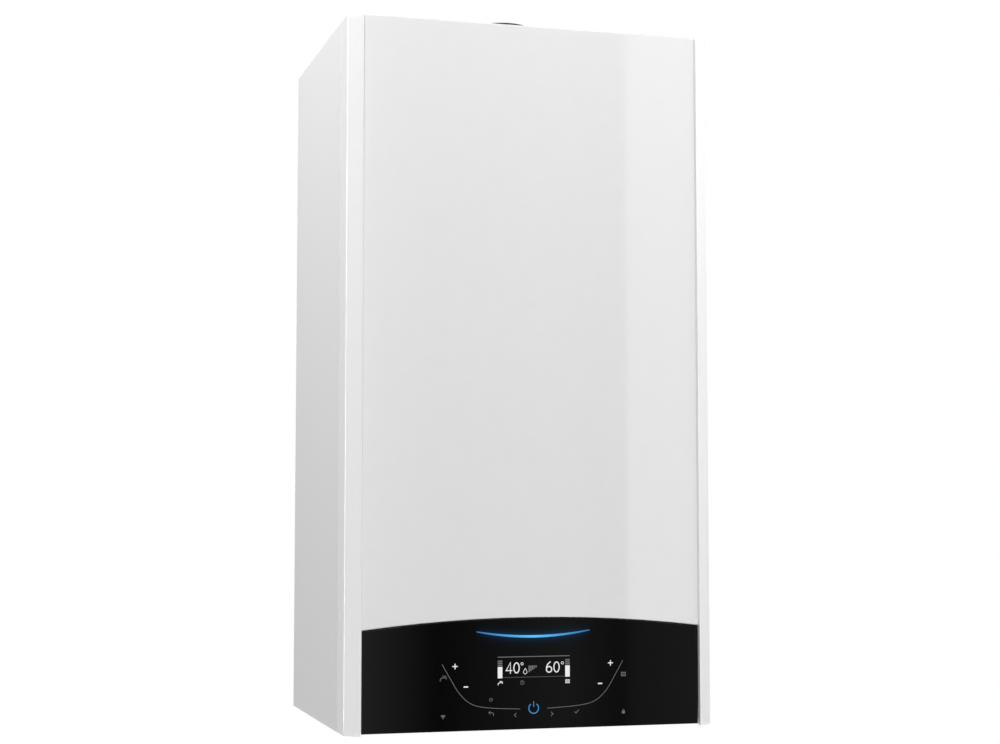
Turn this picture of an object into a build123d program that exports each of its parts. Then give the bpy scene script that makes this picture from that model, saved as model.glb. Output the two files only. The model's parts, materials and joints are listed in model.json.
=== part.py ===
from build123d import *
import math
import os

# A wall-hung condensing combination boiler: a painted steel case, a front casing that pulls forward off two
# studs, and a control box behind a black arched fascia that tilts down on its own hinge.
# All lengths are millimetres. +X is to the right, +Y points into the wall and +Z is up.
# The model is drawn with z = 0 at the lower edge of the case and y = 0 at the wall, and is lowered on export so
# that the origin lies midway between the two wall screws.

# The case.
case_width = 400.0
case_height = 745.0
case_depth = 319.0
sheet = 1.0
sheet_bend = 1.6
fit_gap = 0.3
hang_drop = 55.0

# The front casing: a flat panel set back between two slanted side trims.
trim_width = 16.3
trim_setback = 11.8
trim_wall = 2.2
trim_corner_radius = 3.0
trim_edge_radius = 0.9
trim_cap_height = 3.0
trim_cap_rounding = 0.5
panel_recess = 5.5
panel_under_trim = 3.4
casing_return = 46.0
seam_gap = 0.8
casing_lip_height = 16.0
stud_spacing = 300.0
stud_radius = 3.0
stud_length = 11.0
stud_drop = 9.0
casing_foot_height = 5.0
casing_foot_length = 20.0
casing_foot_setback = 23.0
screw_radius = 2.0
screw_head_radius = 3.6
screw_head_height = 2.6
screw_length = 12.0
insulation_thickness = 4.0
insulation_margin = 12.0
insulation_height = 400.0

# The arched opening for the control box.
arch_radius = 1513.0
arch_height = 117.0
arch_lip_depth = 7.0
arch_edge_radius = 0.8

# The control box.
fascia_thickness = 3.0
fascia_gap = 0.7
fascia_lift = 1.5
fascia_edge_radius = 0.7
hinge_inset = 8.5
hinge_height = 10.0
hinge_pin_radius = 3.0
hinge_pin_length = 4.5
hinge_running_gap = 0.08
swing_gap = 3.2
housing_side_gap = 28.0
housing_depth = 70.0
housing_wall = 2.0
housing_bottom = 4.5
lid_thickness = 2.0
lid_slot_count = 12
lid_slot_pitch = 14.0
lid_slot_width = 3.0
lid_slot_height = 26.0
light_half_width = 61.5
light_end_height = 102.8
light_middle_height = 97.1
light_end_thickness = 1.0
light_middle_thickness = 2.4
light_depth = 3.0
display_half_width = 44.0
display_bottom = 45.0
display_top = 80.5
display_skin = 1.2
display_depth = 8.0
board_thickness = 1.6
touch_board_half_width = 110.0
touch_board_bottom = 12.0
touch_board_top = 42.0
touch_board_setback = 5.0
main_board_margin = 14.0
main_board_bottom = 12.0
main_board_top = 66.0
main_board_standoff = 5.0

# The hinge brackets that carry the control box and take the casing screws.
bracket_thickness = 1.5
bracket_ear_radius = 5.0
bracket_height = 56.0
bracket_gap = 1.2

# The frame behind the casing.
wall_gap = 12.0
frame_sheet = 1.2
frame_flange_depth = 98.0
panel_flange = 14.0
frame_clearance = 1.0
hook_spacing = 260.0
hook_width = 30.0
hook_rise = 14.0
hook_reach = 22.0
bracket_bar_length = 330.0
bracket_bar_below = 16.0
bracket_bar_thickness = 2.5
wall_hole_spacing = 200.0
wall_hole_radius = 4.5
rail_height = 30.0
bottom_plate_height = 44.0
bottom_plate_setback = 87.0
bottom_flange = 9.0

# The flue on top.
flue_from_wall = 189.0
collar_rise = 27.0
collar_outer_rise = 18.0
collar_outer_radius = 50.0
collar_wall = 2.0
collar_flange_radius = 66.0
collar_flange_thickness = 2.0
exhaust_radius = 30.2
exhaust_wall = 2.0
exhaust_drop = 9.0
exhaust_seat_depth = 28.0
exhaust_seat_step = 2.4
flue_bend = 34.0
seal_height = 3.0
cap_radius = 5.5
cap_height = 13.0

# The heat exchanger and its burner door.
exchanger_x = -45.0
exchanger_z = 525.0
exchanger_radius = 105.0
exchanger_setback = 81.0
exchanger_back = 108.0
exchanger_rib_count = 5
exchanger_rib_width = 5.0
exchanger_rib_height = 4.0
exchanger_neck_top = 652.0
exchanger_stub_radius = 11.0
exchanger_stub_length = 22.0
door_radius = 92.0
door_thickness = 10.0
door_nut_count = 6
door_nut_circle = 84.0
nut_across = 10.0
nut_height = 6.0
manifold_depth = 30.0
manifold_radius = 40.0
manifold_end_radius = 24.0

# The fan, its mixer and the air intake.
fan_x = 112.0
fan_z = 398.0
fan_depth = 38.0
scroll_first_radius = 50.0
scroll_growth = 5.0
scroll_wall = 2.5
fan_outlet_width = 40.0
fan_outlet_top = 478.0
impeller_radius = 44.0
impeller_height = 18.0
impeller_plate = 1.5
blade_count = 12
blade_thickness = 1.4
blade_inner_radius = 22.0
blade_sweep = 35.0
fan_hub_radius = 8.0
fan_shaft_radius = 2.5
fan_inlet_radius = 24.0
fan_motor_radius = 38.0
fan_motor_height = 28.0
fan_motor_rib_count = 12
mixer_length = 42.0
mixer_radius = 31.0
intake_radius = 24.0
intake_drop = 55.0
intake_bend = 38.0

# The water and gas side.
connection_pitch = 66.5
connection_y = -75.0
connection_bottom = 9.0
large_thread_radius = 13.22
small_thread_radius = 10.48
thread_length = 18.0
manifold_top = 130.0
manifold_front = 165.0
manifold_rear = 55.0
manifold_half_gap = 42.0
manifold_outer = 158.0
plate_exchanger_half_width = 98.0
plate_exchanger_bottom = 56.0
plate_exchanger_top = 128.0
plate_exchanger_depth = 44.0
plate_count = 14
water_pipe_radius = 9.0
pipe_bend = 22.0
pump_x = 115.0
pump_z = 178.0
volute_radius = 45.0
volute_front = 160.0
volute_back = 98.0
pump_motor_radius = 39.0
pump_motor_length = 64.0
pump_chamber_radius = 30.0
pump_chamber_depth = 16.0
pump_impeller_radius = 27.0
pump_impeller_height = 10.0
pump_vane_count = 6
pump_shaft_radius = 4.0
rotor_gap = 0.08
diverter_x = -133.0
diverter_y = -140.0
diverter_tower_radius = 21.0
diverter_tower_top = 172.0
diverter_motor_top = 224.0
diverter_motor_half_width = 27.0
diverter_travel = 7.0
spindle_radius = 3.0
spindle_disc_radius = 11.0
spindle_disc_height = 4.0
gas_valve_bottom = 272.0
gas_valve_top = 338.0
gas_valve_half_width = 30.0
gas_valve_setback = 93.0
gas_valve_depth = 60.0
gas_coil_radius = 15.0
gas_coil_length = 26.0
gas_run_height = 246.0
vessel_half_width = 140.0
vessel_bottom = 300.0
vessel_drop = 55.0
vessel_front = 100.0
vessel_corner = 40.0
vessel_edge = 18.0
trap_radius = 29.0
trap_bottom = 262.0
trap_top = 398.0
hose_radius = 10.0
probe_height = 345.0
hose_x = -179.0
condensate_spigot_radius = 10.7
relief_x = 140.0
relief_z = 84.0
relief_drain_radius = 7.5
relief_tube_radius = 6.3
relief_bore_radius = 5.0
relief_spigot_drop = 3.0
relief_spigot_length = 28.0
tap_x = 100.0
tap_y = -120.0
tap_knob_radius = 15.0
gland_bore_radius = 4.0

# Places worked out from the sizes above.
half_width = case_width / 2
hang_height = case_height - hang_drop
housing_half_width = half_width - housing_side_gap
main_board_half_width = housing_half_width - main_board_margin
bottom_plate_front = case_depth - bottom_plate_setback
exchanger_front = case_depth - exchanger_setback
intake_top = case_height - intake_drop
gas_valve_front = case_depth - gas_valve_setback
vessel_top = case_height - vessel_drop
trim_point = math.atan2(trim_width, trim_setback)
front_y = -case_depth - trim_edge_radius * (1 / math.tan(trim_point / 2) - 1)
panel_y = -case_depth + panel_recess
corner_y = -case_depth + trim_setback
seam_y = -case_depth + casing_return
casing_back = seam_y - seam_gap / 2
trim_inner = half_width - trim_width
panel_half = trim_inner + panel_under_trim
opening_half = trim_inner + fit_gap
frame_y = -wall_gap
frame_front = frame_y - frame_sheet
flange_x = half_width - sheet - fit_gap
flange_front = -(frame_flange_depth + wall_gap)
plate_half = flange_x - frame_sheet - fit_gap
hinge_y = panel_y + hinge_inset
fascia_back = panel_y + fascia_thickness
housing_back = hinge_y + housing_depth
top_z = case_height - sheet
stud_z = case_height - stud_drop
plate_top = bottom_plate_height + frame_sheet
block_bottom = plate_top + fit_gap
flue_y = -flue_from_wall
scroll_front = -exchanger_front - fan_depth


def block(x, y, z):
    """A box from its low and high limits on each axis."""
    size = [high - low for low, high in (x, y, z)]
    middle = [(high + low) / 2 for low, high in (x, y, z)]
    return Pos(*middle) * Box(*size)


def rod_x(radius, x, y, z):
    """A round bar along X; x holds its low and high ends."""
    return Pos((x[0] + x[1]) / 2, y, z) * Rot(0, 90, 0) * Cylinder(radius, x[1] - x[0])


def rod_y(radius, x, y, z):
    """A round bar along Y; y holds its low and high ends."""
    return Pos(x, (y[0] + y[1]) / 2, z) * Rot(90, 0, 0) * Cylinder(radius, y[1] - y[0])


def rod_z(radius, x, y, z):
    """A round bar along Z; z holds its low and high ends."""
    return Pos(x, y, (z[0] + z[1]) / 2) * Cylinder(radius, z[1] - z[0])


def outline(points):
    """A flat face inside a closed run of straight lines."""
    return make_face(Polyline(*points, close=True))


def raise_plan(face, z):
    """A plan face, drawn in X and Y, raised from the low to the high limit of z."""
    return Pos(0, 0, z[0]) * extrude(face, amount=z[1] - z[0])


def push_front(face, y):
    """A front face, drawn in X and Z, given the depth between the limits of y."""
    return Pos(0, y[1], 0) * extrude(Plane.XZ * face, amount=y[1] - y[0])


def push_side(face, x):
    """A side face, drawn in Y and Z, given the width between the limits of x."""
    return Pos(x[0], 0, 0) * extrude(Plane.YZ * face, amount=x[1] - x[0])


def both_sides(shape):
    """A shape on the right with its mirror image on the left."""
    return [shape, mirror(shape, about=Plane.YZ)]


def pipe(points, radius, bend):
    """A round bar along straight runs that are joined by bends."""
    path = FilletPolyline(*points, radius=bend) if len(points) > 2 else Line(*points)
    section = Plane(origin=path @ 0, z_dir=path % 0) * Circle(radius)
    return sweep(section, path=path)


def hexagon_z(across, x, y, z):
    """A hexagonal bar along Z, measured across its flats."""
    face = Pos(x, y) * RegularPolygon(across / 2, 6, major_radius=False)
    return raise_plan(face, z)


# The front casing.

def arch_at(x):
    """Height of the arched opening at a distance x from the middle."""
    return arch_height - arch_radius + math.sqrt(arch_radius ** 2 - x ** 2)


def arched_face(half, bottom, lift):
    """A front face with a flat foot, upright sides and the arch, raised by lift, as its top."""
    side = arch_at(half) + lift
    edges = Line((-half, bottom), (half, bottom))
    edges += Line((half, bottom), (half, side))
    edges += ThreePointArc((half, side), (0, arch_height + lift), (-half, side))
    edges += Line((-half, side), (-half, bottom))
    return make_face(edges)


def trim_back_of_slope(x):
    """Depth of the inner face of the slanted wall at x."""
    slope = (corner_y - front_y) / trim_width
    return front_y + slope * (x - trim_inner) + trim_wall * math.hypot(1, slope)


def trim():
    """The right-hand trim: a slanted front wall, a step down to the panel and a side return with its snap rib."""
    inside = half_width - trim_wall
    step = trim_inner + trim_wall
    face = outline([
        (half_width, casing_back),
        (half_width, corner_y),
        (trim_inner, front_y),
        (trim_inner, panel_y),
        (step, panel_y),
        (step, trim_back_of_slope(step)),
        (inside, trim_back_of_slope(inside)),
        (inside, casing_back),
    ])
    vertices = face.vertices()
    face = fillet(vertices.sort_by(Axis.Y)[:1], trim_edge_radius)
    corner = [v for v in face.vertices() if abs(v.X - half_width) < 0.01 and abs(v.Y - corner_y) < 0.01]
    face = fillet(corner, trim_corner_radius)
    height = (trim_cap_height, case_height - trim_cap_height)
    rib_y = (casing_back - 18.0, casing_back - 16.0)
    rib = block((panel_half, inside), rib_y, height)
    return raise_plan(face, height) + rib


def trim_caps():
    """Moulded ends that close each trim at the top and at the bottom."""
    face = outline([
        (half_width, casing_back),
        (half_width, corner_y),
        (trim_inner, front_y),
        (trim_inner, panel_y),
        (panel_half + fit_gap, panel_y),
        (panel_half + fit_gap, casing_back),
    ])
    face = fillet(face.vertices().sort_by(Axis.Y)[:1], trim_edge_radius)
    corner = [v for v in face.vertices() if abs(v.X - half_width) < 0.01 and abs(v.Y - corner_y) < 0.01]
    face = fillet(corner, trim_corner_radius)
    low = raise_plan(face, (0, trim_cap_height))
    foot_edges = low.faces().sort_by(Axis.Z)[0].edges()
    outer_edges = foot_edges.filter_by(lambda edge: edge.center().X > panel_half + 1 and edge.center().Y < casing_back)
    low = fillet(outer_edges, trim_cap_rounding)
    top = Pos(0, 0, case_height)
    return both_sides(low) + [top * mirror(low, about=Plane.XY), top * Rot(0, 180, 0) * low]


def casing_foot():
    """The right-hand foot of the casing, slotted from behind for its screw."""
    foot_back = casing_back - 2.4
    screw_x, screw_y = screw_place()
    foot = block(
        (bracket_outer + fit_gap, panel_half),
        (foot_back - casing_foot_length, foot_back),
        (casing_foot_height, casing_foot_height + sheet),
    )
    slot_half = screw_radius + fit_gap
    slot = rod_z(slot_half, screw_x, screw_y, (0, 2 * casing_foot_height))
    slot += block((screw_x - slot_half, screw_x + slot_half), (screw_y, foot_back + 1), (0, 2 * casing_foot_height))
    return foot - slot


def screw_place():
    """Centre of the right-hand casing screw in plan."""
    middle = (bracket_outer + panel_half) / 2
    return middle, corner_y + casing_foot_setback


def front_panel():
    """The bent steel sheet between the trims, with its arch, flanges, top fold and slotted feet."""
    low = trim_cap_height
    plate = block((-panel_half, panel_half), (panel_y, panel_y + sheet), (low, case_height))
    plate -= push_front(arched_face(opening_half, 0, 0), (panel_y - 1, panel_y + 2 * sheet))
    lip = arched_face(opening_half, arch_at(opening_half) - 5, sheet)
    lip -= arched_face(opening_half + 1, arch_at(opening_half) - 9, 0)
    flange = block((panel_half - sheet, panel_half), (panel_y, casing_back - 2.4), (low, case_height))
    fold = block((-panel_half, panel_half), (panel_y, casing_back), (top_z, case_height))
    rear_y = (casing_back - sheet, casing_back)
    rear_lip = block((-trim_inner, trim_inner), rear_y, (case_height - casing_lip_height, case_height))
    for side in (-1, 1):
        hole_y = (casing_back - 2 * sheet, casing_back + sheet)
        rear_lip -= rod_y(stud_radius + fit_gap, side * stud_spacing / 2, hole_y, stud_z)
    panel = plate + push_front(lip, (panel_y, panel_y + arch_lip_depth)) + fold + rear_lip
    panel += both_sides(flange) + both_sides(casing_foot())
    front_edges = panel.edges().filter_by(lambda edge: abs(edge.center().Y - panel_y) < 0.01)
    arch_edge = front_edges.filter_by(GeomType.CIRCLE)
    top_edge = front_edges.filter_by(Axis.X).sort_by(Axis.Z)[-1:]
    panel = fillet(arch_edge, arch_edge_radius)
    top_edge = panel.edges().filter_by(lambda edge: abs(edge.center().Y - panel_y) < 0.01)
    return fillet(top_edge.filter_by(Axis.X).sort_by(Axis.Z)[-1:], sheet_bend)


def casing_insulation():
    """A felt pad on the inside of the casing, in front of the burner."""
    top = top_z - casing_lip_height
    return block(
        (-trim_inner + insulation_margin, trim_inner - insulation_margin),
        (panel_y + sheet, panel_y + sheet + insulation_thickness),
        (top - insulation_height, top),
    )


def casing_screws():
    """Two slotted pan-head screws that clamp the casing feet against the hinge brackets."""
    x, y = screw_place()
    head = rod_z(screw_head_radius, x, y, (casing_foot_height - screw_head_height, casing_foot_height))
    head -= block((x - 5, x + 5), (y - 0.4, y + 0.4), (0, casing_foot_height - screw_head_height + 1))
    shank = rod_z(screw_radius, x, y, (casing_foot_height, casing_foot_height + screw_length))
    return both_sides(head + shank)


# The control box.

def light_face(grow):
    """Crescent of the status light, grown all round by grow."""
    end = light_end_thickness / 2 + grow
    middle = light_middle_thickness / 2 + grow
    half = light_half_width + grow
    low = ThreePointArc(
        (-half, light_end_height - end), (0, light_middle_height - middle), (half, light_end_height - end))
    high = ThreePointArc(
        (half, light_end_height + end), (0, light_middle_height + middle), (-half, light_end_height + end))
    edges = low + Line(low @ 1, high @ 0) + high + Line(high @ 1, low @ 0)
    return make_face(edges)


def fascia():
    """The black arched front of the control box."""
    half = trim_inner - fascia_gap
    body = push_front(arched_face(half, fascia_lift, -fascia_gap), (panel_y, fascia_back))
    body = fillet(body.faces().sort_by(Axis.Y)[0].edges(), fascia_edge_radius)
    body -= push_front(light_face(light_clearance), (panel_y - 1, fascia_back + 1))
    pocket_y = (panel_y + display_skin, fascia_back + 1)
    reach = display_half_width + fit_gap
    return body - block((-reach, reach), pocket_y, (display_bottom - fit_gap, display_top + fit_gap))


def light_guide():
    """The clear bar that carries the status light through the fascia."""
    return push_front(light_face(0), (panel_y, panel_y + light_depth))


def display_module():
    """The display in its frame, behind the thinned part of the fascia."""
    front = panel_y + display_skin + light_clearance
    body = block((-display_half_width, display_half_width), (front, front + display_depth), (display_bottom, display_top))
    back = front + display_depth
    return body + block((-12, 12), (back, back + 3), (display_bottom + 4, display_bottom + 10))


def touch_board():
    """The board of touch keys behind the lower half of the fascia, on four posts."""
    front = fascia_back + touch_board_setback
    body = block(
        (-touch_board_half_width, touch_board_half_width),
        (front, front + board_thickness),
        (touch_board_bottom, touch_board_top),
    )
    for side in (-1, 1):
        for z in (touch_board_bottom + 4, touch_board_top - 4):
            body += rod_y(2.5, side * (touch_board_half_width - 6), (fascia_back, front), z)
    return body


def housing_face(inset, front, back):
    """Side outline of the housing: its top is an arc about the hinge, so that it clears the arch."""
    radius = swing_radius - inset
    rear_z = hinge_height + math.sqrt(radius ** 2 - (back - hinge_y) ** 2)
    front_z = hinge_height + math.sqrt(radius ** 2 - (front - hinge_y) ** 2)
    middle_y = (front + back) / 2
    middle_z = hinge_height + math.sqrt(radius ** 2 - (middle_y - hinge_y) ** 2)
    edges = Line((front, housing_bottom + inset), (back, housing_bottom + inset))
    edges += Line((back, housing_bottom + inset), (back, rear_z))
    edges += ThreePointArc((back, rear_z), (middle_y, middle_z), (front, front_z))
    edges += Line((front, front_z), (front, housing_bottom + inset))
    return make_face(edges)


def control_housing():
    """The moulded box behind the fascia, open at the front and at the back, with its two hinge pins."""
    back = housing_back - lid_thickness
    outer = push_side(housing_face(0, fascia_back, back), (-housing_half_width, housing_half_width))
    inner_half = housing_half_width - housing_wall
    inner = push_side(housing_face(housing_wall, fascia_back - 1, back), (-inner_half, inner_half))
    body = outer - inner - block((-inner_half, inner_half), (back - 1, back + 1), (housing_bottom + 6, back_rim_top()))
    for side in (-1, 1):
        for x in (60, 120):
            rib = push_side(housing_face(housing_wall, fascia_back, back - 4), (side * x - 1, side * x + 1))
            body += rib - push_side(housing_face(housing_wall + 5, fascia_back - 1, back), (side * x - 2, side * x + 2))
    pin = rod_x(hinge_pin_radius, (inner_half, housing_half_width + hinge_pin_length), hinge_y, hinge_height)
    return body + both_sides(pin)


def back_rim_top():
    """Height to which the back of the housing is open."""
    depth = housing_back - lid_thickness - hinge_y
    return hinge_height + math.sqrt((swing_radius - housing_wall) ** 2 - depth ** 2)


def control_lid():
    """The slotted cover over the back of the control box."""
    rear_z = hinge_height + math.sqrt(swing_radius ** 2 - housing_depth ** 2)
    lid = block(
        (-housing_half_width, housing_half_width),
        (housing_back - lid_thickness, housing_back),
        (housing_bottom, rear_z),
    )
    middle = (housing_bottom + rear_z) / 2
    first = -lid_slot_pitch * (lid_slot_count - 1) / 2
    for number in range(lid_slot_count):
        x = first + number * lid_slot_pitch
        lid -= block(
            (x - lid_slot_width / 2, x + lid_slot_width / 2),
            (housing_back - 2 * lid_thickness, housing_back + 1),
            (middle - lid_slot_height / 2, middle + lid_slot_height / 2),
        )
    return lid


def main_board():
    """The control board on posts that stand on the cover."""
    back = housing_back - lid_thickness - main_board_standoff
    board = block(
        (-main_board_half_width, main_board_half_width),
        (back - board_thickness, back),
        (main_board_bottom, main_board_top),
    )
    for side in (-1, 1):
        for z in (main_board_bottom + 5, main_board_top - 5):
            x = side * (main_board_half_width - 6)
            board += rod_y(3, x, (back, housing_back - lid_thickness), z)
    return board


def board_components():
    """Transformer, relays, capacitors and plug rows on the control board."""
    back = housing_back - lid_thickness - main_board_standoff - board_thickness
    low = main_board_bottom
    parts = [block((-150, -112), (back - 30, back), (low + 8, low + 42))]
    for number in range(4):
        x = -96 + number * 20
        parts.append(block((x, x + 14), (back - 15, back), (low + 26, low + 44)))
    for number in range(3):
        parts.append(rod_y(7, -6 + number * 20, (back - 22, back), low + 36))
    for number in range(6):
        x = -92 + number * 30
        parts.append(block((x, x + 24), (back - 10, back), (low + 3, low + 13)))
    parts.append(block((66, 96), (back - 4, back), (low + 20, low + 50)))
    parts.append(block((112, 146), (back - 24, back), (low + 20, low + 48)))
    return parts


# The frame.

def hinge_brackets():
    """Bent plates behind the side flanges, with an ear for each hinge pin and a tab for each casing screw."""
    tab_back = seam_y + seam_gap / 2 + sheet + fit_gap
    ear = Pos(hinge_y, hinge_height) * Circle(bracket_ear_radius)
    plate = outline([
        (hinge_y, hinge_height - bracket_ear_radius),
        (tab_back, hinge_height - bracket_ear_radius),
        (tab_back, bracket_height),
        (tab_back - 14, bracket_height),
        (hinge_y, hinge_height + bracket_ear_radius),
    ])
    hole = Pos(hinge_y, hinge_height) * Circle(hinge_pin_radius + hinge_running_gap)
    body = push_side(plate + ear - hole, (bracket_outer - bracket_thickness, bracket_outer))
    low = hinge_height - bracket_ear_radius
    body += block(
        (bracket_outer - bracket_thickness, half_width - sheet - fit_gap),
        (tab_back, tab_back + bracket_thickness),
        (low, bracket_height),
    )
    screw_x, screw_y = screw_place()
    tab_z = (casing_foot_height + sheet, casing_foot_height + sheet + bracket_thickness)
    tab = block((bracket_outer - bracket_thickness, panel_half - sheet - fit_gap), (screw_y - 7, screw_y + 7), tab_z)
    tab += hexagon_z(7, screw_x, screw_y, (tab_z[1], tab_z[1] + 5))
    body += tab
    body -= rod_z(screw_radius, screw_x, screw_y, (0, bracket_height))
    return both_sides(body)


def side_panel():
    """The right-hand side of the case, a sheet with a flange along each edge."""
    front = seam_y + seam_gap / 2
    inside = half_width - sheet
    reach = half_width - panel_flange
    face = outline([
        (reach, 0), (half_width, 0), (half_width, front), (reach, front),
        (reach, front + sheet), (inside, front + sheet), (inside, -sheet), (reach, -sheet),
    ])
    outer = [v for v in face.vertices() if abs(v.X - half_width) < 0.01]
    return raise_plan(fillet(outer, sheet_bend), (0, case_height))


def wall_bracket():
    """The hanging bar: a flat bar on the wall with two upturned hooks and its two screw holes."""
    top = hang_height + hook_rise
    bar = block(
        (-bracket_bar_length / 2, bracket_bar_length / 2),
        (-bracket_bar_thickness, 0),
        (hang_height - bracket_bar_below, top),
    )
    bar = fillet(bar.edges().filter_by(Axis.Y), 6)
    for side in (-1, 1):
        x = side * hook_spacing / 2
        span = (x - hook_width / 2, x + hook_width / 2)
        bar += block(span, (-hook_reach, 0), (top - bracket_bar_thickness, top))
        bar += block(span, (-hook_reach, bracket_bar_thickness - hook_reach), (top - bracket_bar_thickness, top + 8))
        hole_y = (-2 * bracket_bar_thickness, 1)
        bar -= rod_y(wall_hole_radius, side * wall_hole_spacing / 2, hole_y, hang_height)
    return bar


def back_frame():
    """The deep channel that carries everything: a back plate with hook slots and two side flanges."""
    low = plate_top + 6
    high = top_z - fit_gap
    body = block((-flange_x, flange_x), (frame_front, frame_y), (low, high))
    slot_top = hang_height + hook_rise + fit_gap
    for side in (-1, 1):
        x = side * hook_spacing / 2
        reach = hook_width / 2 + frame_clearance
        slot_z = (slot_top - bracket_bar_thickness - 6, slot_top + 10)
        body -= block((x - reach, x + reach), (frame_front - 1, frame_y + 1), (slot_z[0], slot_top))
    flange = block((flange_x - frame_sheet, flange_x), (flange_front, frame_y), (low, high))
    foot = block((-flange_x, flange_x), (frame_front, frame_y), (bottom_plate_height - 20, low))
    return body + foot + both_sides(flange)


def exchanger_rail():
    """The channel across the frame that the heat exchanger is bolted to."""
    reach = flange_x - frame_sheet - fit_gap
    back = -exchanger_back + fit_gap
    middle = exchanger_z
    face = outline([
        (back, middle - rail_height / 2), (back, middle + rail_height / 2),
        (back + 5, middle + rail_height / 2), (back + 5, middle + rail_height / 2 - frame_sheet),
        (back + frame_sheet, middle + rail_height / 2 - frame_sheet),
        (back + frame_sheet, middle - rail_height / 2 + frame_sheet),
        (back + 5, middle - rail_height / 2 + frame_sheet), (back + 5, middle - rail_height / 2),
    ])
    return push_side(face, (-reach, reach))


def top_plate():
    """The roof of the case, with the flue hole, a front flange and the two casing studs."""
    front = seam_y + seam_gap / 2
    reach = half_width - sheet - fit_gap
    nose = half_width - panel_flange - fit_gap
    body = block((-reach, reach), (front + sheet + fit_gap, frame_front - fit_gap), (top_z, case_height))
    body += block((-nose, nose), (front, front + 4 * sheet), (top_z, case_height))
    body += block((-nose, nose), (front, front + sheet), (top_z - 24, case_height))
    body -= rod_z(collar_outer_radius - collar_wall, 0, flue_y, (top_z - 1, case_height + 1))
    for side in (-1, 1):
        stud_y = (front - stud_length, front)
        body += rod_y(stud_radius, side * stud_spacing / 2, stud_y, stud_z)
    return body


def connection_holes():
    """Clearance holes under the water and gas blocks."""
    holes = []
    for number in range(-2, 3):
        holes.append((number * connection_pitch, connection_y, large_thread_radius + 2))
    holes.append((tap_x, tap_y, 10.0))
    holes.append((relief_x, -manifold_front - 14, relief_drain_radius + 2))
    holes.append((hose_x, diverter_y, hose_radius + 1))
    return holes


def bottom_plate():
    """The plate that the water blocks stand on, with a hole for each connection and a folded rim."""
    plate = block((-plate_half, plate_half), (-bottom_plate_front, frame_front - fit_gap), (bottom_plate_height, plate_top))
    rim = plate_height_rim()
    body = plate + rim
    for x, y, radius in connection_holes():
        body -= rod_z(radius, x, y, (bottom_plate_height - 1, plate_top + 1))
    for x, y in gland_places:
        body -= rod_z(gland_bore_radius + 4, x, y, (bottom_plate_height - 1, plate_top + 1))
    return body


def plate_height_rim():
    """Rim folded down along the front and the sides of the bottom plate."""
    low = bottom_plate_height - bottom_flange
    outer = block((-plate_half, plate_half), (-bottom_plate_front, frame_front - fit_gap), (low, bottom_plate_height))
    inner = block(
        (-plate_half + frame_sheet, plate_half - frame_sheet),
        (-bottom_plate_front + frame_sheet, 0),
        (low - 1, bottom_plate_height + 1),
    )
    return outer - inner


def cable_glands():
    """Rubber glands for the mains and the room thermostat leads."""
    glands = []
    for x, y in gland_places:
        ring = rod_z(gland_bore_radius + 4 - light_clearance, x, y, (bottom_plate_height - 5, plate_top + 4))
        ring += rod_z(gland_bore_radius + 6, x, y, (plate_top, plate_top + 2))
        ring += rod_z(gland_bore_radius + 6, x, y, (bottom_plate_height - 2, bottom_plate_height))
        glands.append(ring - rod_z(gland_bore_radius, x, y, (0, plate_top + 10)))
    return glands


# The flue.

def flue_collar():
    """Concentric collar: an outer spigot for the air duct and an inner socket for the exhaust pipe."""
    base_z = (case_height, case_height + collar_flange_thickness)
    top = case_height + collar_rise
    outer_inner = collar_outer_radius - collar_wall
    body = rod_z(collar_flange_radius, 0, flue_y, base_z)
    body += rod_z(collar_outer_radius, 0, flue_y, (case_height, case_height + collar_outer_rise))
    body -= rod_z(outer_inner, 0, flue_y, (case_height - 1, top + 1))
    socket_top = top - seal_height
    low = socket_top - exhaust_seat_depth - exhaust_drop
    for number in range(3):
        web = block((exhaust_radius, outer_inner + 1), (-1.5, 1.5), (case_height, case_height + 8))
        body += Pos(0, flue_y, 0) * Rot(0, 0, 90 + 120 * number) * web
    body += rod_z(exhaust_radius + exhaust_wall, 0, flue_y, (low, socket_top))
    body -= rod_z(exhaust_radius, 0, flue_y, (socket_top - exhaust_seat_depth, top))
    body -= rod_z(exhaust_radius - exhaust_seat_step, 0, flue_y, (low - 1, top))
    return body


def flue_seal():
    """Rubber lip seal on the exhaust socket."""
    top = case_height + collar_rise
    ring = rod_z(exhaust_radius + exhaust_wall, 0, flue_y, (top - seal_height, top))
    return ring - rod_z(exhaust_radius, 0, flue_y, (top - seal_height - 1, top + 1))


def test_point_caps():
    """Two knurled caps over the flue gas test points."""
    caps = []
    base = case_height + collar_flange_thickness
    circle = (collar_flange_radius + collar_outer_radius) / 2
    for angle in (-125, -55):
        x = circle * math.cos(math.radians(angle))
        y = flue_y + circle * math.sin(math.radians(angle))
        caps.append(hexagon_z(2 * cap_radius, x, y, (base, base + cap_height)))
    return caps


def flue_duct():
    """Plastic duct with a double bend, from the heat exchanger neck to the collar."""
    collar_low = case_height + collar_rise - seal_height - exhaust_seat_depth - exhaust_drop
    points = [
        (exchanger_x, flue_y, exchanger_neck_top - 18),
        (exchanger_x, flue_y, exchanger_neck_top + 14),
        (0, flue_y, collar_low - 18),
        (0, flue_y, collar_low),
    ]
    outer = pipe(points, exhaust_radius - exhaust_seat_step + exhaust_wall, flue_bend)
    return outer - pipe(points, exhaust_radius - exhaust_seat_step, flue_bend)


# The heat exchanger.

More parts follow.
